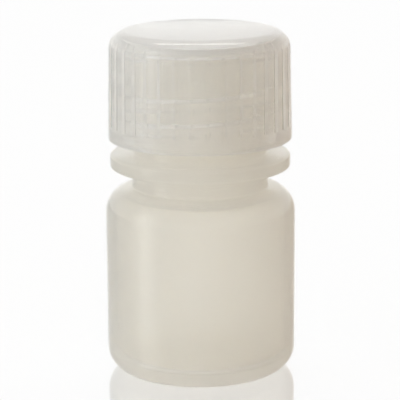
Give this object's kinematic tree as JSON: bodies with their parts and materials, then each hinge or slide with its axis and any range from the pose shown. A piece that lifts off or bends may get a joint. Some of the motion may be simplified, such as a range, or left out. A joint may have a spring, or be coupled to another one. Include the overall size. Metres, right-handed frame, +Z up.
{
  "type": "reagent bottle",
  "caption": "Small milky plastic reagent bottle with a straight round body, short neck, wide neck ring and a ribbed screw cap that unscrews from the mouth.",
  "frame": {"origin": "centre of the ring that the bottle stands on, on the table plane", "axes": "+Z up along the bottle's axis, out of its mouth; X and Y lie in the table plane"},
  "size_m": [0.025, 0.025, 0.0454],
  "materials": {
    "bottle_plastic": "natural translucent plastic, smooth satin moulding",
    "cap_plastic": "natural translucent plastic, smooth satin moulding",
    "liner_foam": "white closed-cell foam disc"
  },
  "bodies": {
    "bottle": {"bottle": "bottle_plastic"},
    "liner": {"cap_liner": "liner_foam"},
    "cap": {"cap": "cap_plastic"}
  },
  "joints": [
    {"name": "cap_lift", "type": "slide", "parent": "bottle", "child": "liner", "axis": [0, 0, 1], "range_m": [0, 0.01271]},
    {"name": "cap_turn", "type": "hinge", "parent": "liner", "child": "cap", "pos_m": [0, 0, 0.038], "axis": [0, 0, 1], "range_deg": [0, 1440]}
  ],
  "couplings": [
    {"joint": "cap_lift", "follows": "cap_turn", "m_per_rad": 0.00050532}
  ]
}
